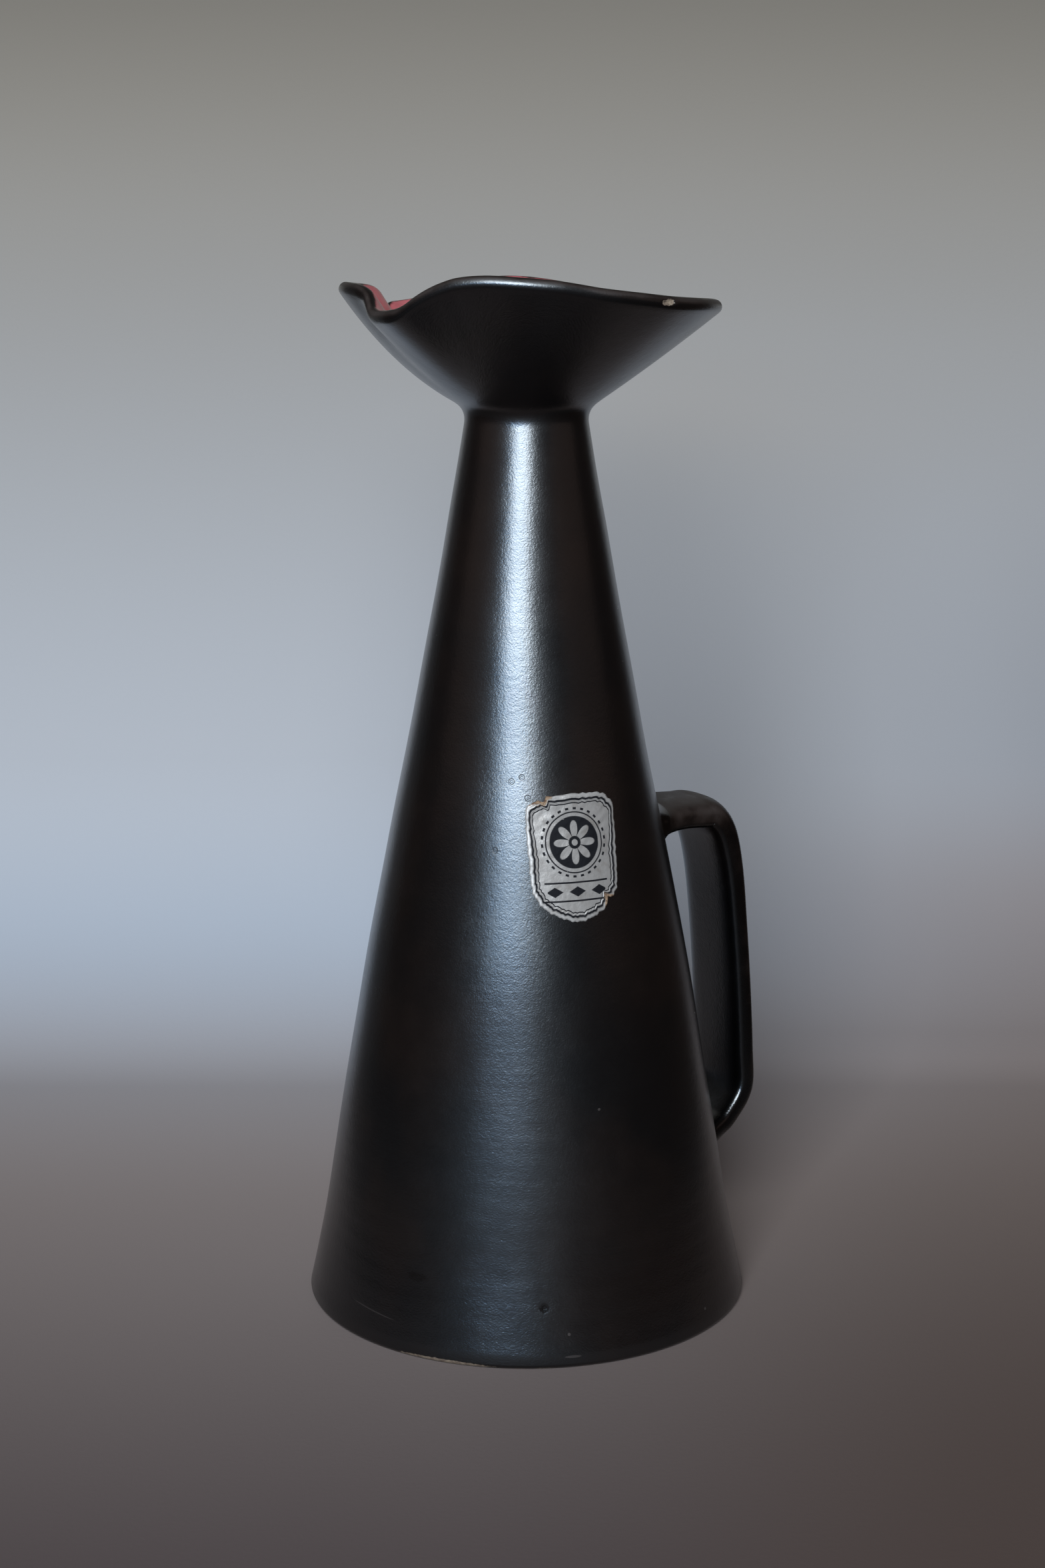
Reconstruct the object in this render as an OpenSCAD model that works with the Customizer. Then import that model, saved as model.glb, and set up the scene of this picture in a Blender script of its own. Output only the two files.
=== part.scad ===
// Tall conical pouring jug: hand-thrown, glazed ceramic, with a strap handle and a foil label.
// Origin: centre of the underside, on the table. +Z up, pouring lip toward -X,
// handle swung from +X toward +Y. Millimetres.

/* [Whole jug] */
// highest point of the rim above the table
height = 310; // [280:1:340]
// radius where the wall meets the table
foot_radius = 68; // [62:0.5:74]
// outside radius of the neck at its narrowest
neck_radius = 18.2; // [17:0.1:22]
// how high the neck lies, as a share of the height
neck_share = 0.866; // [0.85:0.002:0.88]
// thickness of the wall
wall = 5; // [4:0.1:6]
// thickness of the floor above the underside
floor_thickness = 8; // [6:0.5:12]
// unevenness left by throwing: 0 is a straight cone, 1 is as made
belly = 1; // [0:0.1:1.5]

/* [Foot] */
// depth of the hollow inside the foot ring
foot_hollow = 1.6; // [0.8:0.1:2.5]
// width of the foot ring that stands on the table
foot_ring = 9; // [6:0.5:14]
// rounding of the outer bottom edge
foot_round = 1.6; // [0.8:0.1:2.4]

/* [Mouth] */
// outside radius of the flared mouth at its widest
mouth_radius = 59.6; // [54:0.2:66]
// thickness of the wall at the rounded rim
rim_thickness = 4.2; // [3.4:0.1:5]
// radius of the crease between neck and mouth, outside
neck_crease = 5.5; // [4:0.25:8]
// ups and downs of the rim: 0 is level, 1 is as made
rim_relief = 1; // [0:0.1:1.2]
// how hollow the flare is between neck and rim
flare_hollow = 0.14; // [0:0.02:0.25]
// extra hollow of the flare under the pouring lip
lip_hollow = 0.2; // [0:0.02:0.3]

/* [Handle] */
// direction of the handle, turned from +X toward +Y
handle_turn = 32; // [0:1:60]
// width of the strap
handle_width = 26; // [20:0.5:30]
// thickness of the strap at its middle
handle_thickness = 8.8; // [7:0.1:10]
// largest distance of the strap's middle line from the wall
handle_reach = 25.5; // [22:0.5:32]
// height of the upper arm, as a share of the height
handle_top = 0.466; // [0.44:0.002:0.5]
// height of the lower root, as a share of the height
handle_foot = 0.112; // [0.1:0.002:0.13]
// how much the strap widens where it is smoothed onto the wall
root_flare = 0.3; // [0:0.05:0.4]

/* [Label] */
// width of the foil label
label_width = 28; // [20:0.5:34]
// height of the foil label
label_height = 36.5; // [28:0.5:42]
// height of the label's centre, as a share of the height
label_share = 0.468; // [0.4:0.002:0.55]
// direction of the label's centre, turned from +X
label_turn = 289.7; // [270:0.5:310]
// thickness of the foil with its paper backing
label_thickness = 0.3; // [0.2:0.05:0.5]
// depth of the glue film between foil and glaze
glue_film = 0.02; // [0.01:0.01:0.05]

/* [Hidden] */
neck_z = height * neck_share;
// how far the mouth's mesh is let into the top of the neck, and its margin to the neck's faces
let_in = 1.5;
seat_margin = 0.06;
neck_bore = neck_radius - wall;
columns = 96;

// Wall offset from a straight cone: [share of neck height, thousandths of the foot radius]
wall_offset = [[0, 0], [0.045, -6.6], [0.098, -10.3], [0.16, -5.1], [0.235, 0.7], [0.33, 8.8],
    [0.431, 13.2], [0.53, 8.8], [0.627, 0], [0.73, -5.1], [0.823, -7.4], [0.93, -5.1], [1, 0]];

// Rim, once around from +X: [angle, radius offset from mouth_radius, drop below height]
rim = [[0, -2.9, 7.2], [20, -2.2, 6.9], [43, -0.8, 6.1], [57, -0.1, 5.0], [69, -0.1, 3.6],
    [80, -0.1, 1.5], [90, 0, 0.2], [98, 0, 0], [108, -0.4, 1.0], [118, -0.7, 3.5],
    [127, -0.9, 6.6], [134, -1.0, 7.5], [138.5, -1.6, 8.1], [142, -3.8, 10.6], [144.4, -4.9, 10.2],
    [147.5, -6.1, 8.2], [151, -7.0, 6.2], [154.5, -7.3, 4.0], [159, -7.0, 2.8], [168, -5.7, 2.3],
    [180, -5.0, 2.0], [192, -5.6, 2.2], [202, -7.0, 3.0], [207, -7.6, 4.6],
    [211, -6.8, 6.9], [214.5, -5.7, 8.9], [218.5, -4.5, 9.8], [223, -3.0, 9.9], [228, -1.4, 9.7],
    [232, -0.8, 9.1], [235, -0.6, 7.9], [238.3, -0.3, 6.0], [242, -0.2, 4.1], [246, -0.1, 2.5],
    [251, 0, 1.1], [258.7, 0, 0.5], [267, 0, 0.9], [277.7, 0, 1.8], [284, -0.2, 2.7],
    [291, -0.3, 3.8], [303, -0.4, 5.0], [317, -0.5, 6.1], [341, -2.3, 6.7], [360, -2.9, 7.2]];
// level that the flare starts out for, below the relief of the rim
rim_level = 4.6;
rim_inset = 2.0;

// Strap, from inside the wall at the top, out, down and back in:
// [distance from the wall as a share of reach, share of the way from lower root to upper arm, thickness share]
strap = [[-0.303, 1.001, 1.09], [0.002, 1.005, 1.07], [0.330, 1.008, 1.06], [0.671, 1.004, 1.07],
    [0.845, 0.997, 1.14], [0.976, 0.941, 1.15], [0.998, 0.824, 1.06], [0.945, 0.651, 0.99],
    [0.875, 0.458, 0.99], [0.798, 0.284, 1.00], [0.715, 0.163, 0.98], [0.409, 0.084, 0.95],
    [0.176, 0.056, 0.95], [-0.114, 0.035, 1.00], [-0.418, 0.021, 1.05]];

// Smooth line through a table of [x, y, ...] rows: slopes from the neighbours
function row_at(tab, x, i = 0) = i >= len(tab) - 2 || x < tab[i + 1][0] ? i : row_at(tab, x, i + 1);
function slope(tab, i, c) =
    let (a = max(i - 1, 0), b = min(i + 1, len(tab) - 1)) (tab[b][c] - tab[a][c]) / (tab[b][0] - tab[a][0]);
function hermite(y0, y1, m0, m1, w, t) = y0 * (1 + 2 * t) * pow(1 - t, 2) + m0 * w * t * pow(1 - t, 2)
    + y1 * t * t * (3 - 2 * t) - m1 * w * t * t * (1 - t);
function along(tab, x, c = 1) = let (i = row_at(tab, x), w = tab[i + 1][0] - tab[i][0],
    t = (x - tab[i][0]) / w) hermite(tab[i][c], tab[i + 1][c], slope(tab, i, c), slope(tab, i + 1, c), w, t);

// Outside radius of the wall at height z
function wall_radius(z) = let (u = min(max(z / neck_z, 0), 1))
    foot_radius + (neck_radius - foot_radius) * u + belly * foot_radius / 1000 * along(wall_offset, u);

// Foot, wall and floor
body_steps = 24;
function wall_line(inset, low) =
    [for (i = [0:body_steps]) let (z = low + (neck_z - low) * i / body_steps) [wall_radius(z) - inset, z]];
round_steps = 5;
foot_edge = [for (i = [0:round_steps - 1]) let (a = 90 * i / round_steps)
    [foot_radius - foot_round + foot_round * sin(a), foot_round - foot_round * cos(a)]];
inner_round = 7;
// how far the inner corner's curve stands in from the wall, which leans over it
inner_lean = 1;
inner_edge = [for (i = [0:round_steps - 1]) let (a = 90 * i / round_steps)
    [wall_radius(floor_thickness) - wall - inner_lean - inner_round * (1 - sin(a)),
     floor_thickness + inner_round - inner_round * cos(a)]];

module outside() {
    rotate_extrude($fn = columns)
        polygon(concat([[0, foot_hollow], [foot_radius - foot_ring - foot_hollow, foot_hollow],
            [foot_radius - foot_ring, 0]], foot_edge, wall_line(0, foot_round), [[0, neck_z]]));
}

module hollow() {
    over = 5;
    rotate_extrude($fn = columns)
        polygon(concat([[0, floor_thickness]], inner_edge, wall_line(wall, floor_thickness + inner_round),
            [[neck_bore, neck_z + over], [0, neck_z + over]]));
}

// Flared mouth: a shell around a middle surface, closed by a rounded rim
wall_half = wall / 2;
bend = neck_crease + wall_half;
// how far the crease turns the wall outward
bend_turn = 55;
neck_mid = neck_radius - wall_half - seat_margin;
start_r = neck_mid + bend * (1 - cos(bend_turn));
start_z = neck_z + bend * sin(bend_turn);
flare_steps = 9;
bend_steps = 3;
cap_steps = 5;
function rim_r(a) = mouth_radius + rim_relief * along(rim, a, 1) - rim_thickness / 2;
function rim_z(a) = height - rim_relief * along(rim, a, 2) - (1 - rim_relief) * rim_level - rim_thickness / 2;
function scoop(a) = flare_hollow + lip_hollow * pow(max(0, -cos(a)), 2);
function flare_point(a, v) = let (level = height - rim_level - rim_thickness / 2,
    wide = mouth_radius - rim_inset - rim_thickness / 2)
    [start_r + (wide - start_r) * v + (rim_r(a) - wide) * v * v,
     start_z + (level - start_z) * (v - scoop(a) * v * (1 - v)) + (rim_z(a) - level) * v * v];
function middle(a) = concat([[neck_mid, neck_z - let_in]],
    [for (i = [0:bend_steps - 1]) let (t = bend_turn * i / bend_steps)
        [neck_mid + bend * (1 - cos(t)), neck_z + bend * sin(t)]],
    [for (i = [0:flare_steps]) flare_point(a, i / flare_steps)]);
function unit(v) = v / norm(v);
function turned(v) = [v[1], -v[0]];
function tangent(line, i) = i < 2 ? [0, 1] : unit(line[min(i + 1, len(line) - 1)] - line[i - 1]);
function half_at(i, n) = i < 2 ? wall_half : wall_half + (rim_thickness / 2 - wall_half) * (i - 1) / (n - 2);
function mouth_loop(a) = let (m = middle(a), n = len(m))
    concat([for (i = [0:n - 1]) m[i] + turned(tangent(m, i)) * half_at(i, n)],
        [for (j = [1:cap_steps - 1]) let (b = 180 * j / cap_steps, t = tangent(m, n - 1))
            m[n - 1] + (turned(t) * cos(b) + t * sin(b)) * rim_thickness / 2],
        [for (i = [n - 1:-1:0]) m[i] - turned(tangent(m, i)) * half_at(i, n)]);

module mouth() {
    loops = [for (k = [0:columns - 1]) mouth_loop(360 * k / columns)];
    rows = len(loops[0]);
    points = [for (k = [0:columns - 1]) for (p = loops[k])
        [p[0] * cos(360 * k / columns), p[0] * sin(360 * k / columns), p[1]]];
    faces = [for (k = [0:columns - 1]) for (j = [0:rows - 1])
        let (a = k * rows + j, b = k * rows + (j + 1) % rows,
            c = ((k + 1) % columns) * rows + (j + 1) % rows, d = ((k + 1) % columns) * rows + j)
        each [[a, b, c], [a, c, d]]];
    polyhedron(points = points, faces = faces, convexity = 6);
}

// Strap handle: a rounded section carried along the strap line
section_points = 20;
strap_cuts = 2;
outer_power = 2.6;
inner_power = 4.5;
// distance from the wall over which the widening at the roots dies away
root_fade = 6;
low_z = height * handle_foot;
high_z = height * handle_top;
strap_points = [for (s = strap) let (z = low_z + (high_z - low_z) * s[1])
    [wall_radius(z) + handle_reach * s[0], z, handle_thickness * s[2], handle_reach * s[0]]];
function spline(p, i, t) = let (n = len(p) - 1, a = p[max(i - 1, 0)], b = p[i], c = p[min(i + 1, n)], d = p[min(i + 2, n)])
    0.5 * (2 * b + (c - a) * t + (2 * a - 5 * b + 4 * c - d) * t * t + (3 * b - a - 3 * c + d) * t * t * t);
strap_line = concat([for (i = [0:len(strap_points) - 2]) for (j = [0:strap_cuts - 1])
    spline(strap_points, i, j / strap_cuts)], [strap_points[len(strap_points) - 1]]);
function power(x, p) = sign(x) * pow(abs(x), 2 / p);
function strap_ring(i) = let (n = len(strap_line) - 1, p = strap_line[i],
    q = strap_line[min(i + 1, n)] - strap_line[max(i - 1, 0)], t = unit([q[0], q[1]]), out = [-t[1], t[0]],
    spread = 1 + root_flare * exp(-max(p[3], 0) / root_fade))
    [for (k = [0:section_points - 1]) let (b = 360 * k / section_points, e = sin(b) > 0 ? outer_power : inner_power,
        s = handle_width / 2 * spread * power(cos(b), e), h = p[2] / 2 * power(sin(b), e))
        [p[0] + out[0] * h, s, p[1] + out[1] * h]];

module handle() {
    count = len(strap_line);
    points = [for (i = [0:count - 1]) each strap_ring(i)];
    last = (count - 1) * section_points;
    sides = [for (i = [0:count - 2]) for (k = [0:section_points - 1])
        let (a = i * section_points + k, b = i * section_points + (k + 1) % section_points,
            c = b + section_points, d = a + section_points)
        each [[a, c, b], [a, d, c]]];
    ends = [for (k = [1:section_points - 2]) each [[0, k, k + 1], [last, last + k + 1, last + k]]];
    rotate([0, 0, handle_turn]) polyhedron(points = points, faces = concat(sides, ends), convexity = 6);
}

module jug() {
    color([0.07, 0.07, 0.075]) union() {
        difference() {
            union() {
                outside();
                handle();
            }
            hollow();
        }
        mouth();
    }
}

// Foil label: a thin skin on the wall, cut to a plain shield
label_z = height * label_share;
label_out = 90;
shield = [[-0.5, 0.36], [-0.44, 0.44], [-0.3, 0.5], [0.3, 0.5], [0.44, 0.44], [0.5, 0.36],
    [0.49, -0.18], [0.45, -0.3], [0.36, -0.39], [0.2, -0.46], [0, -0.5], [-0.2, -0.46],
    [-0.36, -0.39], [-0.45, -0.3], [-0.49, -0.18]];
skin_steps = 8;
skin_margin = 4;

module label() {
    low = label_z - label_height / 2 - skin_margin;
    span = label_height + 2 * skin_margin;
    inner = [for (i = [0:skin_steps]) let (z = low + span * i / skin_steps) [wall_radius(z) + glue_film, z]];
    outer = [for (i = [skin_steps:-1:0]) inner[i] + [label_thickness, 0]];
    color([0.6, 0.6, 0.58]) intersection() {
        rotate_extrude($fn = columns) polygon(concat(inner, outer));
        rotate([0, 0, label_turn]) translate([0, 0, label_z]) rotate([90, 0, 90])
            linear_extrude(height = label_out) polygon([for (p = shield) [p[0] * label_width, p[1] * label_height]]);
    }
}

jug();
label();
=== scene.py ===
import math

import bpy
import numpy as np
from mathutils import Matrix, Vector
from mathutils.geometry import delaunay_2d_cdt


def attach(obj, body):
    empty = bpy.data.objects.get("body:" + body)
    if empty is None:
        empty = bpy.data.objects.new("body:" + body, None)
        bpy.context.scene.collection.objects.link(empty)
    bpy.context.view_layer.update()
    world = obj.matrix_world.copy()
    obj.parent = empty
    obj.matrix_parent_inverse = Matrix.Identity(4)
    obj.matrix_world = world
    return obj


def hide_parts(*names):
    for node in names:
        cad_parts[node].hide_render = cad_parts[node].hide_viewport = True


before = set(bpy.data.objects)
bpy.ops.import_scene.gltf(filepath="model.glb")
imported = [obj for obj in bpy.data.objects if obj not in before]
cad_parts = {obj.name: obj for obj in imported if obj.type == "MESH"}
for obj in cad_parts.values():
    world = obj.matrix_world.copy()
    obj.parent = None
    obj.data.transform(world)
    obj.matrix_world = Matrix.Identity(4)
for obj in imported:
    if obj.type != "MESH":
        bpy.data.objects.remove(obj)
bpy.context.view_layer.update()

# Looks of a tall glazed jug. Lengths are millimetres until they reach Blender, which works in metres.
# Angles are degrees, turned from +X toward +Y.
MM = 0.001

# Sizes shared with the part's source
HEIGHT = 310
FOOT_RADIUS = 68
NECK_RADIUS = 18.2
NECK_Z = HEIGHT * 0.866
WALL = 5
FLOOR = 8
FOOT_HOLLOW = 1.6
FOOT_RING = 9
FOOT_ROUND = 1.6
INNER_ROUND = 7
MOUTH_RADIUS = 59.6
RIM_THICKNESS = 4.2
NECK_CREASE = 5.5
FLARE_HOLLOW = 0.14
LIP_HOLLOW = 0.2
FLARE_START = 55
RIM_LEVEL = 4.6
RIM_INSET = 2
HANDLE_TURN = 32
HANDLE_WIDTH = 26
HANDLE_THICKNESS = 8.8
HANDLE_REACH = 25.5
HANDLE_TOP = 0.466
HANDLE_FOOT = 0.112
ROOT_FLARE = 0.3
ROOT_ROOM = 2.4
LABEL_WIDTH = 28
LABEL_HEIGHT = 36.5
LABEL_Z = HEIGHT * 0.468
LABEL_TURN = 289.7
LABEL_THICKNESS = 0.3
LABEL_GAP = 0.01
LABEL_SINK = 0.4

# The wall leans inward by this much per millimetre of height, and a step out along its radius
# lifts a point off it by this share.
WALL_LEAN = 0.186
LIFT_SHARE = 0.983

# Wall offset from a straight cone: share of neck height, thousandths of the foot radius
WALL_OFFSET = [
    (0, 0), (0.045, -6.6), (0.098, -10.3), (0.16, -5.1), (0.235, 0.7), (0.33, 8.8), (0.431, 13.2),
    (0.53, 8.8), (0.627, 0), (0.73, -5.1), (0.823, -7.4), (0.93, -5.1), (1, 0)]
# Rim, once around: angle, radius offset, drop below the highest point
RIM = [
    (0, -2.9, 7.2), (20, -2.2, 6.9), (43, -0.8, 6.1), (57, -0.1, 5.0), (69, -0.1, 3.6), (80, -0.1, 1.5),
    (90, 0, 0.2), (98, 0, 0), (108, -0.4, 1.0), (118, -0.7, 3.5), (127, -0.9, 6.6), (134, -1.0, 7.5),
    (138.5, -1.6, 8.1), (142, -3.8, 10.6), (144.4, -4.9, 10.2), (147.5, -6.1, 8.2), (151, -7.0, 6.2),
    (154.5, -7.3, 4.0), (159, -7.0, 2.8), (168, -5.7, 2.3), (180, -5.0, 2.0), (192, -5.6, 2.2),
    (202, -7.0, 3.0), (207, -7.6, 4.6), (211, -6.8, 6.9), (214.5, -5.7, 8.9), (218.5, -4.5, 9.8),
    (223, -3.0, 9.9), (228, -1.4, 9.7), (232, -0.8, 9.1), (235, -0.6, 7.9), (238.3, -0.3, 6.0),
    (242, -0.2, 4.1), (246, -0.1, 2.5), (251, 0, 1.1), (258.7, 0, 0.5), (267, 0, 0.9), (277.7, 0, 1.8),
    (284, -0.2, 2.7), (291, -0.3, 3.8), (303, -0.4, 5.0), (317, -0.5, 6.1), (341, -2.3, 6.7),
    (360, -2.9, 7.2)]
# Strap, from inside the wall at the top to inside the wall at the bottom:
# distance from the wall over the reach, share of the way from lower root to upper arm, thickness share
STRAP = [
    (-0.303, 1.001, 1.09), (0.002, 1.005, 1.07), (0.330, 1.008, 1.06), (0.671, 1.004, 1.07),
    (0.845, 0.997, 1.14), (0.976, 0.941, 1.15), (0.998, 0.824, 1.06), (0.945, 0.651, 0.99),
    (0.875, 0.458, 0.99), (0.798, 0.284, 1.00), (0.715, 0.163, 0.98), (0.409, 0.084, 0.95),
    (0.176, 0.056, 0.95), (-0.114, 0.035, 1.00), (-0.418, 0.021, 1.05)]
# Label's outline, in shares of its width and height
SHIELD = [
    (-0.5, 0.36), (-0.44, 0.44), (-0.3, 0.5), (0.3, 0.5), (0.44, 0.44), (0.5, 0.36), (0.49, -0.18),
    (0.45, -0.3), (0.36, -0.39), (0.2, -0.46), (0, -0.5), (-0.2, -0.46), (-0.36, -0.39), (-0.45, -0.3),
    (-0.49, -0.18)]

# Marks on the glaze: angle, height, the wall's radius there, and half sizes
CHIP = dict(angle=311.1, z=302.4, radius=59, across=2.3, up=0.85)
PIT = dict(angle=274.6, z=17.6, radius=64, across=1.5, up=1.4)
SMUDGES = dict(angle=239.5, z=23.2, radius=63, across=3.2, up=1.3)
SCRATCH = dict(angle=226, z=9.9, radius=65, across=9, up=0.22)
SCUFF = dict(angle=281.6, z=3.5, radius=67, across=2.4, up=0.35)
BARE = dict(angle=249, z=0.6, radius=67, across=14, up=0.9)
SPECKS = [(280.8, 9.8, 65.8), (323.6, 6.9, 66.4), (292.6, 73.1, 54.7)]
PINHOLES = [(267.9, 168.4, 36.8), (263.4, 167.2, 37.0), (257.3, 147.7, 41.1), (270.6, 162.5, 38.0)]
SPECK_SIZE = (0.45, 0.4)
PINHOLE_SIZE = (0.35, 0.35)
PINHOLE_RING = (0.8, 0.8)
CHIP_DEPTH = 0.7
PIT_DEPTH = 0.12
# Where years of handling have roughened the glaze
RUBBED_LOW = 105
RUBBED_HIGH = 185
RUBBED_ANGLE = 262

# How finely the meshes are cut
COLUMNS = 360
WALL_ROWS = 84
STRAP_CUTS = 8
STRAP_ROWS = 112
SECTION_POINTS = 44
FILLET_STEPS = 7
LABEL_CUTS = 16
LABEL_RINGS = 30

# Camera, in metres and degrees
EYE = (0, -0.7319, 0.3062)
EYE_TILT = 11.37
LENS = 56.63
LENS_SHIFT = -0.00257

# Lights: name, place, aim, width and height in metres, watts, colour
LIGHTS = [
    ("window", (-0.31, -2.1, 1.30), (0, 0, 0.25), (1.08, 1.2), 112, (0.80, 0.91, 1.0)),
    ("sill", (-0.52, -2.1, 0.60), (0, 0, 0.2), (1.0, 0.28), 11.5, (0.31, 0.60, 1.0)),
    ("low_glow", (-0.45, -2.1, 0.29), (0, 0, 0.2), (1.0, 0.30), 0.3, (0.30, 0.52, 1.0)),
    ("floor_glow", (-0.45, -2.1, 0.02), (0, 0, 0.1), (1.0, 0.28), 0.06, (0.30, 0.52, 1.0)),
    ("room_right", (1.2, -0.5, 0.6), (0, 0, 0.2), (1.2, 0.6), 0.3, (1.0, 0.72, 0.62)),
    ("room_left", (-1.2, -0.6, 0.6), (0, 0, 0.2), (1.2, 0.6), 0.3, (1.0, 0.72, 0.62))]
ROOM_COLOUR = (0.028, 0.020, 0.017, 1)


def along(table, x, column=1):
    """Smooth line through the rows of a table, with each slope taken from the neighbours."""
    rows = np.asarray(table, float)
    at, value = rows[:, 0], rows[:, column]
    slope = np.gradient(value, at)
    slope[1:-1] = (value[2:] - value[:-2]) / (at[2:] - at[:-2])
    i = np.clip(np.searchsorted(at, x, "right") - 1, 0, len(at) - 2)
    width = at[i + 1] - at[i]
    t = (x - at[i]) / width
    start = value[i] * (1 + 2 * t) * (1 - t) ** 2 + slope[i] * width * t * (1 - t) ** 2
    return start + value[i + 1] * t * t * (3 - 2 * t) - slope[i + 1] * width * t * t * (1 - t)


def between(a, b, c, d, t):
    """The point at share t of the way from b to c, on a smooth line through all four."""
    line = 2 * b + (c - a) * t + (2 * a - 5 * b + 4 * c - d) * t * t
    return (line + (3 * b - a - 3 * c + d) * t ** 3) / 2


def wall_radius(z):
    """Outside radius of the wall at height z."""
    share = np.clip(z / NECK_Z, 0, 1)
    cone = FOOT_RADIUS + (NECK_RADIUS - FOOT_RADIUS) * share
    return cone + FOOT_RADIUS / 1000 * along(WALL_OFFSET, share)


def surface_radius(angle, z):
    """The wall's radius with the slow unevenness of hand throwing."""
    a = np.radians(angle)
    waves = 0.05 * np.sin(z / 7.4 + 0.9 * np.sin(a + 1.1)) + 0.12 * np.sin(2 * a + z / 31)
    waves = waves + 0.07 * np.sin(3 * a - z / 17 + 2)
    fade = np.clip(z / 12, 0, 1) * np.clip((NECK_Z - 6 - z) / 25, 0, 1)
    return wall_radius(z) + waves * fade


def mouth_lines(angle):
    """The mouth's outer line, rounded rim and inner line at each angle, as angle by step by (radius, z).

    They lie on either side of a middle line, which leaves the neck in a small arc and then flares."""
    half = WALL / 2
    bend = NECK_CREASE + half
    leave = math.radians(FLARE_START)
    start_r = NECK_RADIUS - half + bend * (1 - math.cos(leave))
    start_z = NECK_Z + bend * math.sin(leave)
    turn = np.linspace(0, leave, 8)[:-1]
    v = np.linspace(0, 1, 34)
    ones = np.ones((len(angle), 1))
    rim_r = (MOUTH_RADIUS + along(RIM, angle, 1) - RIM_THICKNESS / 2)[:, None]
    rim_z = (HEIGHT - along(RIM, angle, 2) - RIM_THICKNESS / 2)[:, None]
    level = HEIGHT - RIM_LEVEL - RIM_THICKNESS / 2
    wide = MOUTH_RADIUS - RIM_INSET - RIM_THICKNESS / 2
    scoop = (FLARE_HOLLOW + LIP_HOLLOW * np.maximum(0, -np.cos(np.radians(angle))) ** 2)[:, None]
    flare_r = start_r + (wide - start_r) * v + (rim_r - wide) * v * v
    flare_z = start_z + (level - start_z) * (v - scoop * v * (1 - v)) + (rim_z - level) * v * v
    r = np.hstack([ones * (NECK_RADIUS - half + bend * (1 - np.cos(turn))), flare_r])
    z = np.hstack([ones * (NECK_Z + bend * np.sin(turn)), flare_z])
    middle = np.stack([r, z], -1)
    forward = np.gradient(middle, axis=1)
    forward /= np.linalg.norm(forward, axis=2, keepdims=True)
    side = np.stack([forward[..., 1], -forward[..., 0]], -1)
    share = np.concatenate([0.25 * turn / leave, 0.25 + 0.75 * v])[None, :, None]
    thick = half + (RIM_THICKNESS / 2 - half) * share
    round_off = np.radians(np.linspace(0, 180, 12)[1:-1])[None, :, None]
    cap = side[:, -1:] * np.cos(round_off) + forward[:, -1:] * np.sin(round_off)
    cap = middle[:, -1:] + cap * RIM_THICKNESS / 2
    return middle + side * thick, cap, (middle - side * thick)[:, ::-1]


def eased(line, first, last, times):
    """Takes the corner out of a stretch of a line."""
    for _ in range(times):
        before, after = line[:, first - 1:last - 1], line[:, first + 1:last + 1]
        line[:, first:last] = (before + 2 * line[:, first:last] + after) / 4
    return line


def same_all_round(count, points):
    """One line of points, repeated for each angle."""
    return np.repeat(np.asarray(points, float)[None], count, axis=0)


def jug_profiles(angle):
    """The jug's closed section at each angle, from the middle of the underside round to the middle of the
    floor inside, and how far each point lies past the crest of the rim."""
    n = len(angle)
    outer, cap, inner = mouth_lines(angle)
    foot_in = FOOT_RADIUS - FOOT_RING
    sole = [(16, FOOT_HOLLOW), (36, FOOT_HOLLOW), (foot_in - FOOT_HOLLOW - 2, FOOT_HOLLOW),
            (foot_in - FOOT_HOLLOW, FOOT_HOLLOW), (foot_in - 0.9, 0.8), (foot_in, 0.05), (foot_in + 0.8, 0),
            (foot_in + 3.5, 0)]
    quarter = np.radians(np.linspace(0, 90, 7)[:-1])
    foot_out = wall_radius(FOOT_ROUND)
    sole += list(zip(foot_out - FOOT_ROUND * (1 - np.sin(quarter)), FOOT_ROUND * (1 - np.cos(quarter))))
    under_neck = NECK_Z - 9
    wall_z = np.linspace(FOOT_ROUND, under_neck, WALL_ROWS)
    wall_z = np.concatenate([wall_z, np.linspace(under_neck, NECK_Z, 13)[1:-1]])
    # The rows lie closer where the pit is pressed in.
    wall_z = wall_z[np.abs(wall_z - PIT["z"]) > 2.2]
    wall_z = np.sort(np.concatenate([wall_z, PIT["z"] + np.linspace(-1.8, 1.8, 7)]))
    wall_r = surface_radius(angle[:, None], wall_z[None])
    wall = np.stack([wall_r, np.broadcast_to(wall_z, wall_r.shape)], -1)
    low = FLOOR + INNER_ROUND
    back_z = np.concatenate([np.linspace(NECK_Z, under_neck, 8)[1:], np.linspace(under_neck, low, 27)[1:]])
    back = same_all_round(n, np.stack([wall_radius(back_z) - WALL, back_z], -1))
    corner = np.radians(np.linspace(90, 0, 7)[1:])
    corner_r = wall_radius(FLOOR) - WALL - 1 - INNER_ROUND * (1 - np.sin(corner))
    floor = list(zip(corner_r, FLOOR + INNER_ROUND * (1 - np.cos(corner)))) + [(36, FLOOR), (18, FLOOR)]
    outside = np.concatenate([same_all_round(n, sole), wall, outer], axis=1)
    neck = len(sole) + len(wall_z)
    outside = eased(outside, neck - 5, neck + 10, 4)
    inside = np.concatenate([inner, back, same_all_round(n, floor)], axis=1)
    neck = inner.shape[1]
    inside = eased(inside, neck - 10, neck + 6, 6)
    line = np.concatenate([outside, cap, inside], axis=1)
    steps = np.linalg.norm(np.diff(line, axis=1), axis=2)
    run = np.concatenate([np.zeros((n, 1)), np.cumsum(steps, axis=1)], axis=1)
    crest = outside.shape[1] + cap.shape[1] // 2
    return line, run - (run[:, crest - 1:crest] + run[:, crest:crest + 1]) / 2


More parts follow.
